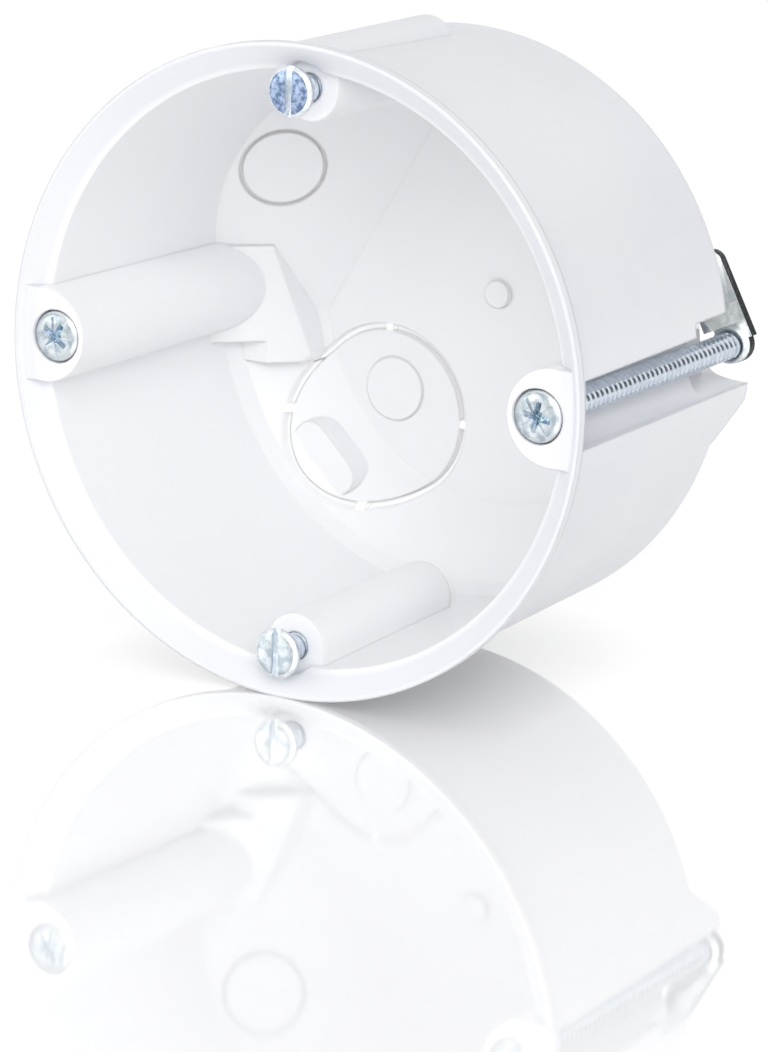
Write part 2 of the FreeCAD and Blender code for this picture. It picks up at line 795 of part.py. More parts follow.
def write_parts(pieces):
    DOC.recompute()
    for thing in DOC.Objects:
        if "Invalid" in thing.State or "Error" in thing.State:
            raise ValueError("%s is in state %s" % (thing.Label, thing.State))
    os.makedirs("parts", exist_ok=True)
    for piece in pieces:
        shape = piece.Shape
        if shape.isNull() or not shape.isValid() or len(shape.Solids) != 1:
            raise ValueError(piece.Label + " isn't one valid solid")
    for piece in pieces:
        piece.Shape.exportStep(os.path.join("parts", piece.Label + ".step"))
        print(piece.Label, "%.1f mm3" % piece.Shape.Volume)


write_parts(build_all())
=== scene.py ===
import json
import math

import bmesh
import bpy
from bpy.props import FloatProperty, FloatVectorProperty, IntProperty, PointerProperty
from mathutils import Matrix, Vector


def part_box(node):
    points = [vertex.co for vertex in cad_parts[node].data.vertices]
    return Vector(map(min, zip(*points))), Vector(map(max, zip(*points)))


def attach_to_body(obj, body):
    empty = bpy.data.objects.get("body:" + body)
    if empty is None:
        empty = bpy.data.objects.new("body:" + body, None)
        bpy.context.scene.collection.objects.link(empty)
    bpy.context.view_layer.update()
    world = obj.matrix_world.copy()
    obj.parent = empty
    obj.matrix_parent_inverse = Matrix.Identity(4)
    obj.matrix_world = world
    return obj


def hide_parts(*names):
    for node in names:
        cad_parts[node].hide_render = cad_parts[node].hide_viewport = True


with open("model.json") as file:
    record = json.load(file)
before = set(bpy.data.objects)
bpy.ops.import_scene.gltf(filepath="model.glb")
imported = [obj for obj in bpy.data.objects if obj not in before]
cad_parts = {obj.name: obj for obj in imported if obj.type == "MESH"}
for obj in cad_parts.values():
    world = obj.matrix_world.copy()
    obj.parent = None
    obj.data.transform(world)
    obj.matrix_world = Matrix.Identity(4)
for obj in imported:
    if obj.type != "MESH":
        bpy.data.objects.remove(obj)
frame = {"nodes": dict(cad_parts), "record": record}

bl_info = {
    "name": "Drywall Back Box",
    "version": (1, 0, 0),
    "blender": (4, 5, 0),
    "location": "View3D > Sidebar > Back Box",
    "description": "Finishes a round back box for plasterboard, with its screws and clamp claws",
    "category": "Object",
}

MM = 0.001
FULL_TURN = math.tau
EIGHTH_TURN = math.pi / 4
DEPTH_AXIS = Vector((0.0, 1.0, 0.0))
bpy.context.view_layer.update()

# How far the cross of each clamp screw is turned, and the finish of each device screw's face
CLAMP_SIDES = {"right": 0.17, "left": 0.62}
DEVICE_ENDS = {"top": "blue", "bottom": "pale"}

# Box: where the painted light inside the box ends, and the thin web round the large knock-out, which gets
# painted light and a painted glow
INNER_WALL = 31.9 * MM
OUTER_WALL = 32.8 * MM
KNOCK_OUT_CENTRE = (-14.2 * MM, 0.0, -14.3 * MM)
KNOCK_OUT_RADIUS = 10.05 * MM
KNOCK_OUT_DEPTH = 36.0 * MM
PAINTED_WEB_FULL = 0.24 * MM
PAINTED_WEB_GONE = 0.36 * MM

# Vertices nearer than this are merged
MERGE = 0.001 * MM
CAD_MERGE = 0.002 * MM

# Screw heads: the cross, the nicks between its arms, and the slot
CROSS_LENGTH = 4.5 * MM
CROSS_WIDTH = 0.86 * MM
CROSS_BLOCK = 1.9 * MM
CROSS_CORE = 1.8 * MM
CROSS_CORE_BLOCK = 2.2 * MM
NICK_LENGTH = 4.6 * MM
NICK_WIDTH = 0.30 * MM
NICK_BLOCK = 0.44 * MM
NICK_PLACE = (0.0, 0.03 * MM, 0.0)
SLOT_WIDTH = 0.78 * MM
SLOT_BLOCK = 1.2 * MM
HEAD_SEGMENTS = 48
ROD_OVERLAP = 0.1 * MM
TIP_NARROWING = 0.35
CENTRE = (0.0, 0.0, 0.0)

# Claws: how far the sheet reaches forward of the rear face, and where its hub's edge starts
SHEET_BAND = 1.3 * MM
HUB_EDGE = 1.75 * MM

# Floor: where the mirror image is clearest and where it ends, and the painted shadow close under the box,
# which dims the floor's glow near the box
MIRROR_FULL = 0.03
MIRROR_GONE = 0.21
MIRROR_ROUGHNESS = 0.04
PAINTED_SHADOW_REACH = 11.0 * MM
PAINTED_SHADOW_GLOW = 0.55

# Room: the share of the room's light from the sides and from above, and the corner that metal mirrors dark
SKY_LOW = 1.10
SKY_HIGH = 0.68
SKY_COLOUR = (0.985, 0.99, 1.0, 1.0)
DARK_CORNER = (0.498, 0.829, 0.256)
DARK_FULL = math.radians(9.0)
DARK_GONE = math.radians(24.0)
DARK_LIGHT = 0.04

# Lamps and camera
LAMP_TARGET = (0.0, 0.02, 0.0)
KEY_PLACE = (0.58, -0.85, 0.60)
KEY_SIZE = 0.90
FILL_PLACE = (-0.65, -0.80, 0.25)
FILL_SIZE = 0.60
CAMERA_PLACE = (0.24479, -0.38679, 0.10544)
CAMERA_RIGHT = (0.85284, 0.52138, 0.02874)
CAMERA_UP = (-0.15739, 0.20418, 0.96619)
CAMERA_BACK = (0.49789, -0.82853, 0.25620)
CAMERA_LENS = 153.99
CAMERA_SENSOR = 36.0


# Sizes and colours that can be changed in the sidebar

class ShellSettings(bpy.types.PropertyGroup):
    edge_radius: FloatProperty(
        name="Edge Radius", description="Rounding of every moulded edge",
        default=0.45 * MM, min=0.0, subtype="DISTANCE", unit="LENGTH", precision=5)
    plastic: FloatVectorProperty(
        name="Plastic", description="Main colour of the plastic",
        default=(0.822, 0.828, 0.858), size=3, min=0.0, max=1.0, subtype="COLOR")
    plastic_shade: FloatVectorProperty(
        name="Plastic Shade", description="Second colour of the plastic, in soft large clouds",
        default=(0.800, 0.807, 0.842), size=3, min=0.0, max=1.0, subtype="COLOR")
    # Painted light: the inside of the box is coloured paler, standing in for light that comes through its
    # walls
    painted_light_inside: FloatVectorProperty(
        name="Painted Light Inside", description="Colour of the plastic where light comes through its walls",
        default=(0.928, 0.931, 0.947), size=3, min=0.0, max=1.0, subtype="COLOR")
    # Painted light: the thin web is coloured white, standing in for light that comes through it from
    # behind
    web_painted_white: FloatVectorProperty(
        name="Web Painted White", description="Colour of the thin web round the large knock-out",
        default=(1.000, 1.000, 1.000), size=3, min=0.0, max=1.0, subtype="COLOR")
    # Painted glow: the thin web emits light, though it is no lamp
    web_painted_glow: FloatVectorProperty(
        name="Web Painted Glow", description="Light that comes through the thin web from behind",
        default=(0.150, 0.150, 0.148), size=3, min=0.0, max=1.0, subtype="COLOR")
    grain_size: FloatProperty(
        name="Grain", description="Grains of the moulded texture per metre",
        default=2600.0, min=1.0)


class ScrewSettings(bpy.types.PropertyGroup):
    clamp_pitch: FloatProperty(
        name="Clamp Pitch", description="Thread pitch of the clamp screws",
        default=1.0 * MM, min=0.1 * MM, subtype="DISTANCE", unit="LENGTH", precision=5)
    device_pitch: FloatProperty(
        name="Device Pitch", description="Thread pitch of the device screws",
        default=1.0 * MM, min=0.1 * MM, subtype="DISTANCE", unit="LENGTH", precision=5)
    thread_depth: FloatProperty(
        name="Thread Depth", description="Height of a tooth of the thread",
        default=0.15 * MM, min=0.01 * MM, subtype="DISTANCE", unit="LENGTH", precision=5)
    shank_radius: FloatProperty(
        name="Shank Radius", description="Radius of both kinds of screw over the thread",
        default=1.5 * MM, min=0.1 * MM, subtype="DISTANCE", unit="LENGTH", precision=5)
    thread_steps: IntProperty(
        name="Thread Steps", description="Steps in one turn of a thread", default=18, min=6)
    clamp_head: FloatProperty(
        name="Clamp Head", description="Thickness of a clamp screw's head",
        default=1.9 * MM, min=0.1 * MM, subtype="DISTANCE", unit="LENGTH", precision=5)
    device_head: FloatProperty(
        name="Device Head", description="Thickness of a device screw's head",
        default=0.9 * MM, min=0.1 * MM, subtype="DISTANCE", unit="LENGTH", precision=5)
    zinc: FloatVectorProperty(
        name="Zinc", description="Light colour of the zinc plating",
        default=(0.660, 0.720, 0.790), size=3, min=0.0, max=1.0, subtype="COLOR")
    zinc_shade: FloatVectorProperty(
        name="Zinc Shade", description="Bluish colour in the zinc plating",
        default=(0.560, 0.630, 0.710), size=3, min=0.0, max=1.0, subtype="COLOR")
    blue_zinc: FloatVectorProperty(
        name="Blue Zinc", description="Light colour of a face with blue passivation",
        default=(0.430, 0.530, 0.720), size=3, min=0.0, max=1.0, subtype="COLOR")
    blue_zinc_shade: FloatVectorProperty(
        name="Blue Zinc Shade", description="Dark colour of a face with blue passivation",
        default=(0.130, 0.200, 0.340), size=3, min=0.0, max=1.0, subtype="COLOR")
    bright_metal: FloatVectorProperty(
        name="Bright Metal", description="Colour of rubbed rims and of the slots' floors",
        default=(0.880, 0.900, 0.910), size=3, min=0.0, max=1.0, subtype="COLOR")
    bright_shade: FloatVectorProperty(
        name="Bright Shade", description="Darker patches of the rubbed metal",
        default=(0.700, 0.740, 0.760), size=3, min=0.0, max=1.0, subtype="COLOR")
    pale_zinc: FloatVectorProperty(
        name="Pale Zinc", description="Light colour of a dull pale face",
        default=(0.640, 0.690, 0.715), size=3, min=0.0, max=1.0, subtype="COLOR")
    pale_zinc_shade: FloatVectorProperty(
        name="Pale Zinc Shade", description="Darker patches of a dull pale face",
        default=(0.400, 0.470, 0.510), size=3, min=0.0, max=1.0, subtype="COLOR")
    recess_light: FloatVectorProperty(
        name="Recess", description="Light colour in the cross recess",
        default=(0.480, 0.660, 0.780), size=3, min=0.0, max=1.0, subtype="COLOR")
    # Painted shade: the near-black patches in the cross recess stand in for shade in the hollow
    recess_painted_shade: FloatVectorProperty(
        name="Recess Painted Shade", description="Dark colour in the cross recess",
        default=(0.040, 0.075, 0.100), size=3, min=0.0, max=1.0, subtype="COLOR")


class ClawSettings(bpy.types.PropertyGroup):
    steel: FloatVectorProperty(
        name="Steel", description="Colour of the plated sheet",
        default=(0.860, 0.890, 0.885), size=3, min=0.0, max=1.0, subtype="COLOR")
    steel_shade: FloatVectorProperty(
        name="Steel Shade", description="Darker patches of the plated sheet",
        default=(0.700, 0.750, 0.760), size=3, min=0.0, max=1.0, subtype="COLOR")
    cut_edge: FloatVectorProperty(
        name="Cut Edge", description="Colour of the sheet's sheared edges",
        default=(0.030, 0.036, 0.036), size=3, min=0.0, max=1.0, subtype="COLOR")


class StageSettings(bpy.types.PropertyGroup):
    floor: FloatVectorProperty(
        name="Floor", description="Colour of the floor",
        default=(0.94, 0.94, 0.95), size=3, min=0.0, max=1.0, subtype="COLOR")
    floor_shade: FloatProperty(
        name="Floor Shade", description="How much of the shadow on the floor the camera sees",
        default=0.46, min=0.0, max=1.0, subtype="FACTOR")
    floor_glow: FloatProperty(
        name="Floor Glow", description="How much paler the camera sees the floor",
        default=0.68, min=0.0, max=1.0)
    floor_mirror: FloatProperty(
        name="Floor Mirror", description="How clearly the floor mirrors the box just below it",
        default=0.54, min=0.0, max=1.0, subtype="FACTOR")
    floor_size: FloatProperty(
        name="Floor Size", description="Length of the floor's sides",
        default=8.0, min=0.5, subtype="DISTANCE", unit="LENGTH")
    key_power: FloatProperty(
        name="Key Light", description="Power of the large lamp in front",
        default=6.2, min=0.0, unit="POWER")
    fill_power: FloatProperty(
        name="Fill Light", description="Power of the lamp beside the camera",
        default=1.2, min=0.0, unit="POWER")
    sky: FloatProperty(
        name="Room Light", description="Strength of the even light of the room",
        default=0.83, min=0.0)


# Mesh helpers

def add_object(name, mesh):
    """Puts a mesh into the scene as an object at the origin."""
    piece = bpy.data.objects.new(name, mesh)
    bpy.context.scene.collection.objects.link(piece)
    return piece


def take_mesh(bm, name):
    """Ends a bmesh as a mesh whose faces point outwards."""
    bmesh.ops.recalc_face_normals(bm, faces=bm.faces)
    mesh = bpy.data.meshes.new(name)
    bm.to_mesh(mesh)
    bm.free()
    return mesh


def shade(mesh, degrees):
    """Shades a mesh smooth, with sharp edges past an angle."""
    mesh.shade_smooth()
    mesh.set_sharp_from_angle(angle=math.radians(degrees))


def worked_mesh(piece):
    """The mesh of a helper with its modifiers worked in. The helper is removed."""
    graph = bpy.context.evaluated_depsgraph_get()
    mesh = bpy.data.meshes.new_from_object(piece.evaluated_get(graph))
    bpy.data.objects.remove(piece)
    return mesh


def merged_copy(node, name):
    """A copy of a CAD node's mesh with its triangles joined up."""
    bm = bmesh.new()
    bm.from_mesh(frame["nodes"][node].data)
    bmesh.ops.remove_doubles(bm, verts=bm.verts, dist=CAD_MERGE)
    mesh = bpy.data.meshes.new(name)
    bm.to_mesh(mesh)
    bm.free()
    return mesh


def turned(outline, segments):
    """A closed form turned about the Y axis from an outline of radius and depth."""
    bm = bmesh.new()
    corners = [bm.verts.new((radius, depth, 0.0)) for radius, depth in outline]
    edges = [bm.edges.new(pair) for pair in zip(corners, corners[1:])]
    bmesh.ops.spin(bm, geom=corners + edges, cent=CENTRE, axis=DEPTH_AXIS, angle=FULL_TURN,
                   steps=segments, use_merge=True)
    bmesh.ops.remove_doubles(bm, verts=bm.verts, dist=MERGE)
    return bm


def threaded_rod(crest, depth, pitch, start, end, steps, tip):
    """A threaded rod along Y: one tooth is turned with a rise, and both ends are cut square."""
    root = crest - depth
    turns = int((end - start) / pitch) + 4
    low = start - pitch * 2
    tooth = [(root, 0.0), (root, 0.30), (crest, 0.50), (crest, 0.80), (root, 1.0)]
    bm = bmesh.new()
    corners = [bm.verts.new((radius, low + share * pitch, 0.0)) for radius, share in tooth]
    edges = [bm.edges.new(pair) for pair in zip(corners, corners[1:])]
    bmesh.ops.spin(bm, geom=corners + edges, cent=CENTRE, axis=DEPTH_AXIS,
                   dvec=DEPTH_AXIS * (pitch / steps), angle=FULL_TURN * turns, steps=steps * turns)
    bmesh.ops.remove_doubles(bm, verts=bm.verts, dist=MERGE)
    for place, direction in ((start, -1.0), (end, 1.0)):
        bmesh.ops.bisect_plane(
            bm, geom=bm.verts[:] + bm.edges[:] + bm.faces[:], dist=MERGE / 2,
            plane_co=DEPTH_AXIS * place, plane_no=DEPTH_AXIS * direction, clear_outer=True)
    rims = [edge for edge in bm.edges if edge.is_boundary]
    bmesh.ops.holes_fill(bm, edges=rims, sides=0)
    for vert in bm.verts:
        past = vert.co.y - (end - tip)
        if past > 0.0:
            narrowed = 1.0 - TIP_NARROWING * past / tip
            vert.co.x *= narrowed
            vert.co.z *= narrowed
    return bm


def block(size, place, taper=1.0, turn=0.0):
    """A block of a given size, its far end narrowed, turned about Y and put in its place."""
    bm = bmesh.new()
    bmesh.ops.create_cube(bm, size=1.0)
    bmesh.ops.scale(bm, vec=size, verts=bm.verts)
    for vert in bm.verts:
        if vert.co.y > 0.0:
            vert.co.x *= taper
            vert.co.z *= taper
    bmesh.ops.rotate(bm, cent=CENTRE, matrix=Matrix.Rotation(turn, 3, "Y"), verts=bm.verts)
    bmesh.ops.translate(bm, vec=place, verts=bm.verts)
    return add_object("cutter", take_mesh(bm, "cutter"))


def cut_with(mesh, cutters, rounding):
    """Takes the cutters out of a mesh, rounds its edges and removes the cutters."""
    piece = add_object("blank", mesh)
    for cutter in cutters:
        cut = piece.modifiers.new("Cut", "BOOLEAN")
        cut.operation = "DIFFERENCE"
        cut.solver = "EXACT"
        cut.object = cutter
    edge = piece.modifiers.new("Rounded Edges", "BEVEL")
    edge.width = rounding
    edge.segments = 2
    edge.limit_method = "ANGLE"
    edge.angle_limit = math.radians(38.0)
    edge.use_clamp_overlap = True
    done = worked_mesh(piece)
    for cutter in cutters:
        bpy.data.objects.remove(cutter)
    return done


def place_screw(name, node, head, rod, turn):
    """Joins a head and its rod, and puts them on the axis and at the depth of a CAD screw."""
    low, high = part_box(node)
    bm = bmesh.new()
    bm.from_mesh(head)
    bm.from_mesh(rod)
    bmesh.ops.rotate(bm, cent=CENTRE, matrix=Matrix.Rotation(turn, 3, "Y"), verts=bm.verts)
    middle = (low + high) / 2
    bmesh.ops.translate(bm, vec=(middle.x, low.y, middle.z), verts=bm.verts)
    mesh = bpy.data.meshes.new(name)
    bm.to_mesh(mesh)
    bm.free()
    shade(mesh, 35.0)
    return add_object(name, mesh)


def finish_screw(piece, finishes, front, face_radius, recess):
    """Gives a screw's face, and its rim and recess, finishes of their own."""
    mesh = piece.data
    for finish in finishes:
        mesh.materials.append(finish)
    low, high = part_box(piece.name.removesuffix("_detail"))
    axis = (low + high) / 2
    for face in mesh.polygons:
        past = face.center.y - front
        out = math.hypot(face.center.x - axis.x, face.center.z - axis.z)
        if face.normal.y > -0.5 or past > recess + 0.6 * MM:
            continue
        if out > face_radius:
            face.material_index = 2
        else:
            face.material_index = 3 if past > recess * 0.5 else 1


def attach(piece, node):
    """Lets a piece stand for a CAD node, which is hidden, and ride on its body."""
    body = next(name for name, nodes in frame["record"]["behaviour"]["bodies"].items() if node in nodes)
    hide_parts(node)
    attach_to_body(piece, body)


# Shader groups

def new_group(name, inputs, outputs):
    """An empty node group with its sockets, and the nodes that they start and end at."""
    group = bpy.data.node_groups.new(name, "ShaderNodeTree")
    for label, kind, default in inputs:
        socket = group.interface.new_socket(label, in_out="INPUT", socket_type=kind)
        if default is not None:
            socket.default_value = default
    for label, kind in outputs:
        group.interface.new_socket(label, in_out="OUTPUT", socket_type=kind)
    start = group.nodes.new("NodeGroupInput")
    end = group.nodes.new("NodeGroupOutput")
    return group, start, end


def mottle_group():
    """Soft patches in two sizes, as a mask from 0 to 1."""
    group, start, end = new_group(
        "Mottle",
        [("Vector", "NodeSocketVector", None), ("Scale", "NodeSocketFloat", 100.0),
         ("Low", "NodeSocketFloat", 0.35), ("High", "NodeSocketFloat", 0.65)],
        [("Mask", "NodeSocketFloat")])
    noise = group.nodes.new("ShaderNodeTexNoise")
    noise.inputs["Detail"].default_value = 4.0
    noise.inputs["Roughness"].default_value = 0.6
    spread = group.nodes.new("ShaderNodeMapRange")
    spread.interpolation_type = "SMOOTHSTEP"
    link = group.links.new
    link(start.outputs["Vector"], noise.inputs["Vector"])
    link(start.outputs["Scale"], noise.inputs["Scale"])
    link(noise.outputs["Fac"], spread.inputs["Value"])
    link(start.outputs["Low"], spread.inputs["From Min"])
    link(start.outputs["High"], spread.inputs["From Max"])
    link(spread.outputs["Result"], end.inputs["Mask"])
    return group


def grain_group():
    """A fine grain over a slow unevenness, as a height from 0 to 1."""
    group, start, end = new_group(
        "Grain",
        [("Vector", "NodeSocketVector", None), ("Scale", "NodeSocketFloat", 1000.0),
         ("Slow Share", "NodeSocketFloat", 0.3)],
        [("Height", "NodeSocketFloat")])
    fine = group.nodes.new("ShaderNodeTexNoise")
    fine.inputs["Detail"].default_value = 2.0
    slow_scale = group.nodes.new("ShaderNodeMath")
    slow_scale.operation = "MULTIPLY"
    slow_scale.inputs[1].default_value = 0.06
    slow = group.nodes.new("ShaderNodeTexNoise")
    slow.inputs["Detail"].default_value = 1.0
    blend = group.nodes.new("ShaderNodeMix")
    blend.data_type = "FLOAT"
    link = group.links.new
    link(start.outputs["Vector"], fine.inputs["Vector"])
    link(start.outputs["Vector"], slow.inputs["Vector"])
    link(start.outputs["Scale"], fine.inputs["Scale"])
    link(start.outputs["Scale"], slow_scale.inputs[0])
    link(slow_scale.outputs["Value"], slow.inputs["Scale"])
    link(start.outputs["Slow Share"], blend.inputs["Factor"])
    link(fine.outputs["Fac"], blend.inputs["A"])
    link(slow.outputs["Fac"], blend.inputs["B"])
    link(blend.outputs["Result"], end.inputs["Height"])
    return group


def add_group(tree, name, maker, values):
    """Places a shared group in a material. The group is built when it is first asked for."""
    node = tree.nodes.new("ShaderNodeGroup")
    node.node_tree = bpy.data.node_groups.get(name) or maker()
    for label, value in values.items():
        node.inputs[label].default_value = value
    return node


# Materials

class Finish:
    """A material of mottled colour, uneven roughness and a fine grain."""

    def __init__(self, name):
        self.material = bpy.data.materials.new(name)
        self.material.use_nodes = True
        self.tree = self.material.node_tree
        self.surface = self.tree.nodes["Principled BSDF"]
        self.place = self.tree.nodes.new("ShaderNodeTexCoord").outputs["Object"]
        self.link = self.tree.links.new

    def mottle(self, scale, low=0.3, high=0.7):
        """Soft patches as a mask. The nearer low and high are, the harder their edges."""
        node = add_group(self.tree, "Mottle", mottle_group, {"Scale": scale, "Low": low, "High": high})
        self.link(self.place, node.inputs["Vector"])
        return node.outputs["Mask"]

    def mix(self, mask, first, second):
        """A blend of two colours, each of them a plain one or a socket."""
        mix = self.tree.nodes.new("ShaderNodeMix")
        mix.data_type = "RGBA"
        colour_inputs = [socket for socket in mix.inputs if socket.type == "RGBA"]
        for socket, colour in zip(colour_inputs, (first, second)):
            if isinstance(colour, bpy.types.NodeSocket):
                self.link(colour, socket)
            else:
                socket.default_value = (*colour, 1.0)
        self.link(mask, mix.inputs["Factor"])
        return next(socket for socket in mix.outputs if socket.type == "RGBA")

    def colours(self, mask, first, second):
        """A base colour that a mask blends from two."""
        self.link(self.mix(mask, first, second), self.surface.inputs["Base Color"])

    def band(self, centre, radius, full, gone, depth):
        """A mask along a circle about Y: 1 up to one distance from it, 0 past the other.

        It holds only beyond a depth.
        """
        away = self.tree.nodes.new("ShaderNodeVectorMath")
        away.operation = "SUBTRACT"
        away.inputs[1].default_value = centre
        flat = self.tree.nodes.new("ShaderNodeVectorMath")
        flat.operation = "MULTIPLY"
        flat.inputs[1].default_value = (1.0, 0.0, 1.0)
        length = self.tree.nodes.new("ShaderNodeVectorMath")
        length.operation = "LENGTH"
        offset = self.tree.nodes.new("ShaderNodeMath")
        offset.operation = "SUBTRACT"
        offset.inputs[1].default_value = radius
        either_side = self.tree.nodes.new("ShaderNodeMath")
        either_side.operation = "ABSOLUTE"
        fade = self.tree.nodes.new("ShaderNodeMapRange")
        fade.interpolation_type = "SMOOTHSTEP"
        fade.inputs["From Min"].default_value = full
        fade.inputs["From Max"].default_value = gone
        fade.inputs["To Min"].default_value = 1.0
        fade.inputs["To Max"].default_value = 0.0
        parts = self.tree.nodes.new("ShaderNodeSeparateXYZ")
        deep = self.tree.nodes.new("ShaderNodeMath")
        deep.operation = "GREATER_THAN"
        deep.inputs[1].default_value = depth
        both = self.tree.nodes.new("ShaderNodeMath")
        both.operation = "MULTIPLY"
        self.link(self.place, away.inputs[0])
        self.link(away.outputs["Vector"], flat.inputs[0])
        self.link(flat.outputs["Vector"], length.inputs[0])
        self.link(length.outputs["Value"], offset.inputs[0])
        self.link(offset.outputs["Value"], either_side.inputs[0])
        self.link(either_side.outputs["Value"], fade.inputs["Value"])
        self.link(self.place, parts.inputs["Vector"])
        self.link(parts.outputs["Y"], deep.inputs[0])
        self.link(fade.outputs["Result"], both.inputs[0])
        self.link(deep.outputs["Value"], both.inputs[1])
        return both.outputs["Value"]

    def roughness(self, mask, low, high):
        """A roughness that a mask varies between two values."""
        spread = self.tree.nodes.new("ShaderNodeMapRange")
        spread.inputs["To Min"].default_value = low
        spread.inputs["To Max"].default_value = high
        self.link(mask, spread.inputs["Value"])
        self.link(spread.outputs["Result"], self.surface.inputs["Roughness"])

    def grain(self, scale, slow_share, height, strength, edge):
        """A fine relief, over edges that look rounded."""
        node = add_group(self.tree, "Grain", grain_group, {"Scale": scale, "Slow Share": slow_share})
        self.link(self.place, node.inputs["Vector"])
        bump = self.tree.nodes.new("ShaderNodeBump")
        bump.inputs["Distance"].default_value = height
        bump.inputs["Strength"].default_value = strength
        self.link(node.outputs["Height"], bump.inputs["Height"])
        rounding = self.tree.nodes.new("ShaderNodeBevel")
        rounding.samples = 4
        rounding.inputs["Radius"].default_value = edge
        self.link(rounding.outputs["Normal"], bump.inputs["Normal"])
        self.link(bump.outputs["Normal"], self.surface.inputs["Normal"])


def moulded_plastic(settings):
    """White plastic, painted paler inside as light that comes through its walls, and painted palest, with
    a painted glow, on the thin web round the large knock-out.
    """
    finish = Finish("Moulded Plastic")
    clouds = finish.mottle(38.0, 0.36, 0.64)
    outside = finish.mix(clouds, settings.plastic, settings.plastic_shade)
    # Painted light: a mask by the distance from the box's axis makes the inside paler
    inside = finish.band(CENTRE, 0.0, INNER_WALL, OUTER_WALL, 0.0)
    walls = finish.mix(inside, outside, settings.painted_light_inside)
    # Painted light and a painted glow on a band along the thin web, beyond the knock-out's depth
    web = finish.band(KNOCK_OUT_CENTRE, KNOCK_OUT_RADIUS, PAINTED_WEB_FULL, PAINTED_WEB_GONE, KNOCK_OUT_DEPTH)
    finish.colours(web, walls, settings.web_painted_white)
    glow = finish.mix(web, (0.0, 0.0, 0.0), settings.web_painted_glow)
    finish.link(glow, finish.surface.inputs["Emission Color"])
    finish.surface.inputs["Emission Strength"].default_value = 1.0
    finish.roughness(finish.mottle(420.0), 0.34, 0.46)
    finish.grain(settings.grain_size, 0.35, 0.02 * MM, 0.35, settings.edge_radius)
    finish.surface.inputs["IOR"].default_value = 1.5
    return finish.material


def plated_metal(name, colours, patch, gloss, edge, metal=1.0):
    """Plated steel: patches of two colours, uneven gloss and fine pitting."""
    made = bpy.data.materials.get(name)
    if made:
        return made
    finish = Finish(name)
    finish.colours(finish.mottle(patch, 0.40, 0.62), *colours)
    finish.roughness(finish.mottle(2600.0), *gloss)
    finish.grain(5200.0, 0.5, 0.02 * MM, 0.35, edge)
    finish.surface.inputs["Metallic"].default_value = metal
    return finish.material


def screw_finishes(settings, face, recess):
    """The plating of a screw's sides, of its face and of its rim, and the finish of its recess, which for
    the clamp screws is pale blue with patches of painted shade.
    """
    zinc = plated_metal(
        "Zinc Plating", (settings.zinc, settings.zinc_shade), 900.0, (0.16, 0.28), 0.03 * MM, 0.92)
    blue = plated_metal(
        "Blue Zinc", (settings.blue_zinc, settings.blue_zinc_shade), 1700.0, (0.22, 0.36), 0.04 * MM)
    bright = plated_metal(
        "Rubbed Zinc", (settings.bright_metal, settings.bright_shade), 1300.0, (0.24, 0.40), 0.06 * MM)
    pale = plated_metal(
        "Pale Zinc", (settings.pale_zinc, settings.pale_zinc_shade), 900.0, (0.26, 0.40), 0.05 * MM)
    # The cross recess is mottled pale blue and near black; the near black is painted shade
    shaded_recess = plated_metal(
        "Recess With Painted Shade", (settings.recess_light, settings.recess_painted_shade), 1300.0, (0.16, 0.30), 0.03 * MM)
    kinds = {"blue": blue, "pale": pale, "bright": bright, "recess": shaded_recess}
    return [zinc, kinds[face], bright, kinds[recess]]


def plated_sheet(settings):
    """The dull plating of the claws' faces."""
    return plated_metal(
        "Plated Sheet", (settings.steel, settings.steel_shade), 500.0, (0.44, 0.62), 0.12 * MM)


def sheared_edge(settings):
    """The dark and rough steel of a sheared edge."""
    finish = Finish("Sheared Edge")
    lighter = [channel * 2.4 for channel in settings.cut_edge]
    finish.colours(finish.mottle(2400.0, 0.42, 0.72), settings.cut_edge, lighter)
    finish.roughness(finish.mottle(2600.0), 0.35, 0.6)
    finish.grain(4200.0, 0.3, 0.04 * MM, 0.8, 0.10 * MM)
    finish.surface.inputs["Metallic"].default_value = 0.6
    return finish.material


# The pieces

class BACKBOX_OT_shell(bpy.types.Operator):
    """Gives the moulded box its plastic, which also rounds its edges"""
    bl_idname = "object.backbox_shell"
    bl_label = "Box"

    def execute(self, context):
        settings = context.scene.backbox_shell
        box = frame["nodes"]["box_body"]
        box.material_slots[0].material = moulded_plastic(settings)
        return {"FINISHED"}


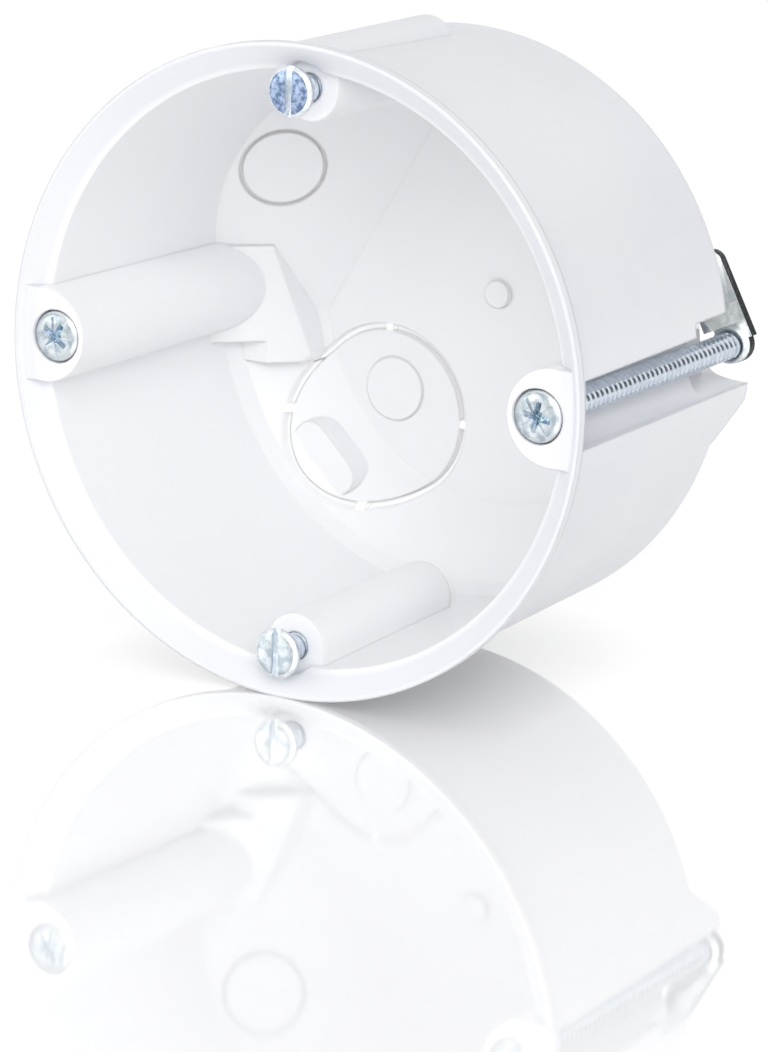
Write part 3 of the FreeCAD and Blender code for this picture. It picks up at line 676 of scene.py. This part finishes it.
class BACKBOX_OT_clamp_screws(bpy.types.Operator):
    """Makes the two long clamp screws, with cross recesses and full threads"""
    bl_idname = "object.backbox_clamp_screws"
    bl_label = "Clamp Screws"

    def execute(self, context):
        settings = context.scene.backbox_screws
        for side, turn in CLAMP_SIDES.items():
            node = "clamp_screw_" + side
            low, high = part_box(node)
            radius = (high.x - low.x) / 2
            thick = settings.clamp_head
            head = turned([
                (0.0, 0.0), (radius * 0.50, 0.02 * MM), (radius * 0.78, 0.10 * MM),
                (radius * 0.93, 0.28 * MM), (radius, 0.55 * MM), (radius, thick * 0.62),
                (radius * 0.80, thick), (0.0, thick)], HEAD_SEGMENTS)
            cutters = [
                block((CROSS_LENGTH, CROSS_BLOCK, CROSS_WIDTH), CENTRE, 0.50),
                block((CROSS_WIDTH, CROSS_BLOCK, CROSS_LENGTH), CENTRE, 0.50),
                block((CROSS_CORE, CROSS_CORE_BLOCK, CROSS_CORE), CENTRE, 0.6, EIGHTH_TURN),
                block((NICK_LENGTH, NICK_BLOCK, NICK_WIDTH), NICK_PLACE, 0.9, EIGHTH_TURN),
                block((NICK_WIDTH, NICK_BLOCK, NICK_LENGTH), NICK_PLACE, 0.9, EIGHTH_TURN),
            ]
            head = cut_with(take_mesh(head, "head"), cutters, 0.04 * MM)
            rod = take_mesh(threaded_rod(
                settings.shank_radius, settings.thread_depth, settings.clamp_pitch, thick - ROD_OVERLAP,
                high.y - low.y, settings.thread_steps, 0.6 * MM), "rod")
            piece = place_screw("clamp_screw_%s_detail" % side, node, head, rod, turn)
            finish_screw(piece, screw_finishes(settings, "pale", "recess"), low.y, radius * 0.90, 0.9 * MM)
            attach(piece, node)
        return {"FINISHED"}


class BACKBOX_OT_device_screws(bpy.types.Operator):
    """Makes the two slotted screws that hold the device's plate"""
    bl_idname = "object.backbox_device_screws"
    bl_label = "Device Screws"

    def execute(self, context):
        settings = context.scene.backbox_screws
        for end, face in DEVICE_ENDS.items():
            node = "device_screw_" + end
            low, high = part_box(node)
            radius = (high.x - low.x) / 2
            thick = settings.device_head
            head = turned([
                (0.0, 0.0), (radius * 0.74, 0.02 * MM), (radius * 0.86, 0.09 * MM),
                (radius * 0.95, 0.26 * MM), (radius, 0.45 * MM), (radius, thick - 0.12 * MM),
                (radius * 0.96, thick), (0.0, thick)], HEAD_SEGMENTS)
            slot = block((SLOT_WIDTH, SLOT_BLOCK, radius * 2.4), CENTRE)
            head = cut_with(take_mesh(head, "head"), [slot], 0.05 * MM)
            rod = take_mesh(threaded_rod(
                settings.shank_radius, settings.thread_depth, settings.device_pitch, thick - ROD_OVERLAP,
                high.y - low.y, settings.thread_steps, 0.9 * MM), "rod")
            piece = place_screw("device_screw_%s_detail" % end, node, head, rod, 0.0)
            finish_screw(piece, screw_finishes(settings, face, "bright"), low.y, radius * 0.80, 0.5 * MM)
            attach(piece, node)
        return {"FINISHED"}


class BACKBOX_OT_claws(bpy.types.Operator):
    """Finishes the two sheet steel claws, with dark sheared edges"""
    bl_idname = "object.backbox_claws"
    bl_label = "Claws"

    def execute(self, context):
        settings = context.scene.backbox_claws
        finishes = [plated_sheet(settings), sheared_edge(settings)]
        for side in CLAMP_SIDES:
            node = "claw_" + side
            mesh = merged_copy(node, node + "_detail")
            low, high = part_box("clamp_screw_" + side)
            axis = (low + high) / 2
            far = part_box(node)[1].y
            for face in mesh.polygons:
                out = math.hypot(face.center.x - axis.x, face.center.z - axis.z)
                in_sheet = face.center.y > far - SHEET_BAND
                if abs(face.normal.y) < 0.5 and in_sheet and out > HUB_EDGE:
                    face.material_index = 1
            shade(mesh, 30.0)
            for finish in finishes:
                mesh.materials.append(finish)
            piece = add_object(node + "_detail", mesh)
            attach(piece, node)
        return {"FINISHED"}


def add_lamp(name, place, size, power):
    """A round lamp that looks at the middle of the box."""
    lamp = bpy.data.lights.new(name, "AREA")
    lamp.shape = "DISK"
    lamp.size = size
    lamp.energy = power
    light = bpy.data.objects.new(name, lamp)
    light.location = place
    light.rotation_euler = (Vector(LAMP_TARGET) - Vector(place)).to_track_quat("-Z", "Y").to_euler()
    bpy.context.scene.collection.objects.link(light)


def white_floor(settings):
    """A pale floor that mirrors what stands on it, ever less with the distance from it."""
    finish = Finish("White Floor")
    tree = finish.tree
    darker = [channel * 0.99 for channel in settings.floor]
    bounced = finish.mix(finish.mottle(3.0), settings.floor, darker)
    shaded = [channel * settings.floor_shade for channel in settings.floor]
    finish.surface.inputs["Roughness"].default_value = 0.6
    finish.surface.inputs["Specular IOR Level"].default_value = 0.0
    finish.surface.inputs["Emission Color"].default_value = (1.0, 1.0, 1.0, 1.0)
    path = tree.nodes.new("ShaderNodeLightPath")
    seen = tree.nodes.new("ShaderNodeMath")
    seen.operation = "MAXIMUM"
    finish.link(path.outputs["Is Camera Ray"], seen.inputs[0])
    finish.link(path.outputs["Is Glossy Ray"], seen.inputs[1])
    # Painted shadow: occlusion near the box dims the glow that the camera sees, as a dark contact shadow
    # painted on the floor
    painted_shadow = tree.nodes.new("ShaderNodeAmbientOcclusion")
    painted_shadow.samples = 4
    painted_shadow.inputs["Distance"].default_value = PAINTED_SHADOW_REACH
    glow = tree.nodes.new("ShaderNodeMapRange")
    glow.inputs["From Min"].default_value = 0.2
    glow.inputs["To Min"].default_value = settings.floor_glow * PAINTED_SHADOW_GLOW
    glow.inputs["To Max"].default_value = settings.floor_glow
    glow_seen = tree.nodes.new("ShaderNodeMath")
    glow_seen.operation = "MULTIPLY"
    finish.link(painted_shadow.outputs["AO"], glow.inputs["Value"])
    finish.link(glow.outputs["Result"], glow_seen.inputs[0])
    finish.link(seen.outputs["Value"], glow_seen.inputs[1])
    finish.link(glow_seen.outputs["Value"], finish.surface.inputs["Emission Strength"])
    finish.colours(seen.outputs["Value"], bounced, shaded)

    # The mirror image, which fades with the distance from the box
    away = tree.nodes.new("ShaderNodeVectorMath")
    away.operation = "LENGTH"
    fade = tree.nodes.new("ShaderNodeMapRange")
    fade.interpolation_type = "SMOOTHSTEP"
    fade.inputs["From Min"].default_value = MIRROR_FULL
    fade.inputs["From Max"].default_value = MIRROR_GONE
    fade.inputs["To Min"].default_value = settings.floor_mirror
    fade.inputs["To Max"].default_value = 0.0
    mirror = tree.nodes.new("ShaderNodeBsdfGlossy")
    mirror.inputs["Roughness"].default_value = MIRROR_ROUGHNESS
    mirror.inputs["Color"].default_value = (1.0, 1.0, 1.0, 1.0)
    blend = tree.nodes.new("ShaderNodeMixShader")
    flat = tree.nodes.new("ShaderNodeVectorMath")
    flat.operation = "MULTIPLY"
    flat.inputs[1].default_value = (1.0, 1.0, 0.0)
    finish.link(finish.place, flat.inputs[0])
    finish.link(flat.outputs["Vector"], away.inputs[0])
    finish.link(away.outputs["Value"], fade.inputs["Value"])
    finish.link(fade.outputs["Result"], blend.inputs["Fac"])
    finish.link(finish.surface.outputs["BSDF"], blend.inputs[1])
    finish.link(mirror.outputs["BSDF"], blend.inputs[2])
    finish.link(blend.outputs["Shader"], tree.nodes["Material Output"].inputs["Surface"])
    return finish.material


def light_room(settings):
    """White where the camera or a mirror looks, with one dark corner, and an even light elsewhere."""
    world = bpy.data.worlds.new("Studio")
    bpy.context.scene.world = world
    world.use_nodes = True
    tree = world.node_tree
    tree.nodes.clear()
    link = tree.links.new
    end = tree.nodes.new("ShaderNodeOutputWorld")
    seen = tree.nodes.new("ShaderNodeBackground")
    lit = tree.nodes.new("ShaderNodeBackground")
    blend = tree.nodes.new("ShaderNodeMixShader")
    path = tree.nodes.new("ShaderNodeLightPath")
    either = tree.nodes.new("ShaderNodeMath")
    either.operation = "MAXIMUM"
    place = tree.nodes.new("ShaderNodeTexCoord")
    parts = tree.nodes.new("ShaderNodeSeparateXYZ")
    height = tree.nodes.new("ShaderNodeMapRange")
    height.inputs["From Min"].default_value = 0.0
    height.inputs["From Max"].default_value = 1.0
    height.inputs["To Min"].default_value = settings.sky * SKY_LOW
    height.inputs["To Max"].default_value = settings.sky * SKY_HIGH
    seen.inputs["Color"].default_value = (1.0, 1.0, 1.0, 1.0)
    toward = tree.nodes.new("ShaderNodeVectorMath")
    toward.operation = "DOT_PRODUCT"
    toward.inputs[1].default_value = DARK_CORNER
    corner = tree.nodes.new("ShaderNodeMapRange")
    corner.interpolation_type = "SMOOTHSTEP"
    corner.inputs["From Min"].default_value = math.cos(DARK_GONE)
    corner.inputs["From Max"].default_value = math.cos(DARK_FULL)
    corner.inputs["To Min"].default_value = 1.0
    corner.inputs["To Max"].default_value = DARK_LIGHT
    link(place.outputs["Generated"], toward.inputs[0])
    link(toward.outputs["Value"], corner.inputs["Value"])
    link(corner.outputs["Result"], seen.inputs["Strength"])
    lit.inputs["Color"].default_value = SKY_COLOUR
    link(place.outputs["Generated"], parts.inputs["Vector"])
    link(parts.outputs["Z"], height.inputs["Value"])
    link(height.outputs["Result"], lit.inputs["Strength"])
    link(path.outputs["Is Camera Ray"], either.inputs[0])
    link(path.outputs["Is Glossy Ray"], either.inputs[1])
    link(either.outputs["Value"], blend.inputs["Fac"])
    link(lit.outputs["Background"], blend.inputs[1])
    link(seen.outputs["Background"], blend.inputs[2])
    link(blend.outputs["Shader"], end.inputs["Surface"])


class BACKBOX_OT_stage(bpy.types.Operator):
    """Sets the pale floor, the soft light and the camera"""
    bl_idname = "object.backbox_stage"
    bl_label = "Stage"

    def execute(self, context):
        settings = context.scene.backbox_stage
        scene = context.scene
        bm = bmesh.new()
        bmesh.ops.create_grid(bm, x_segments=8, y_segments=8, size=settings.floor_size / 2)
        bmesh.ops.translate(bm, vec=(0.0, 0.0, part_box("box_body")[0].z), verts=bm.verts)
        mesh = bpy.data.meshes.new("floor")
        bm.to_mesh(mesh)
        bm.free()
        mesh.materials.append(white_floor(settings))
        add_object("floor", mesh)

        add_lamp("Key", KEY_PLACE, KEY_SIZE, settings.key_power)
        add_lamp("Fill", FILL_PLACE, FILL_SIZE, settings.fill_power)
        light_room(settings)

        camera = bpy.data.cameras.new("Camera")
        camera.lens = CAMERA_LENS
        camera.sensor_width = CAMERA_SENSOR
        camera.clip_start = 0.01
        camera.clip_end = 20.0
        eye = bpy.data.objects.new("Camera", camera)
        turn = Matrix((CAMERA_RIGHT, CAMERA_UP, CAMERA_BACK)).transposed().to_4x4()
        eye.matrix_world = Matrix.Translation(CAMERA_PLACE) @ turn
        scene.collection.objects.link(eye)
        scene.camera = eye
        scene.view_settings.view_transform = "Standard"
        return {"FINISHED"}


class BACKBOX_PT_panel(bpy.types.Panel):
    bl_idname = "BACKBOX_PT_panel"
    bl_label = "Back Box"
    bl_space_type = "VIEW_3D"
    bl_region_type = "UI"
    bl_category = "Back Box"

    def draw(self, context):
        layout = self.layout
        for title, group, operators in PANEL_ROWS:
            box = layout.box()
            box.label(text=title)
            settings = getattr(context.scene, group)
            for name in settings.__annotations__:
                box.prop(settings, name)
            for operator in operators:
                box.operator(operator.bl_idname)


PANEL_ROWS = (
    ("Box", "backbox_shell", (BACKBOX_OT_shell,)),
    ("Screws", "backbox_screws", (BACKBOX_OT_clamp_screws, BACKBOX_OT_device_screws)),
    ("Claws", "backbox_claws", (BACKBOX_OT_claws,)),
    ("Stage", "backbox_stage", (BACKBOX_OT_stage,)),
)
SETTINGS = {
    "backbox_shell": ShellSettings,
    "backbox_screws": ScrewSettings,
    "backbox_claws": ClawSettings,
    "backbox_stage": StageSettings,
}
CLASSES = (
    *SETTINGS.values(), BACKBOX_OT_shell, BACKBOX_OT_clamp_screws, BACKBOX_OT_device_screws,
    BACKBOX_OT_claws, BACKBOX_OT_stage, BACKBOX_PT_panel,
)


def register():
    for item in CLASSES:
        bpy.utils.register_class(item)
    for name, group in SETTINGS.items():
        setattr(bpy.types.Scene, name, PointerProperty(type=group))


def unregister():
    for name in SETTINGS:
        delattr(bpy.types.Scene, name)
    for item in reversed(CLASSES):
        bpy.utils.unregister_class(item)


def main():
    register()
    bpy.ops.object.backbox_shell()
    bpy.ops.object.backbox_clamp_screws()
    bpy.ops.object.backbox_device_screws()
    bpy.ops.object.backbox_claws()
    bpy.ops.object.backbox_stage()


if __name__ == "__main__":
    main()
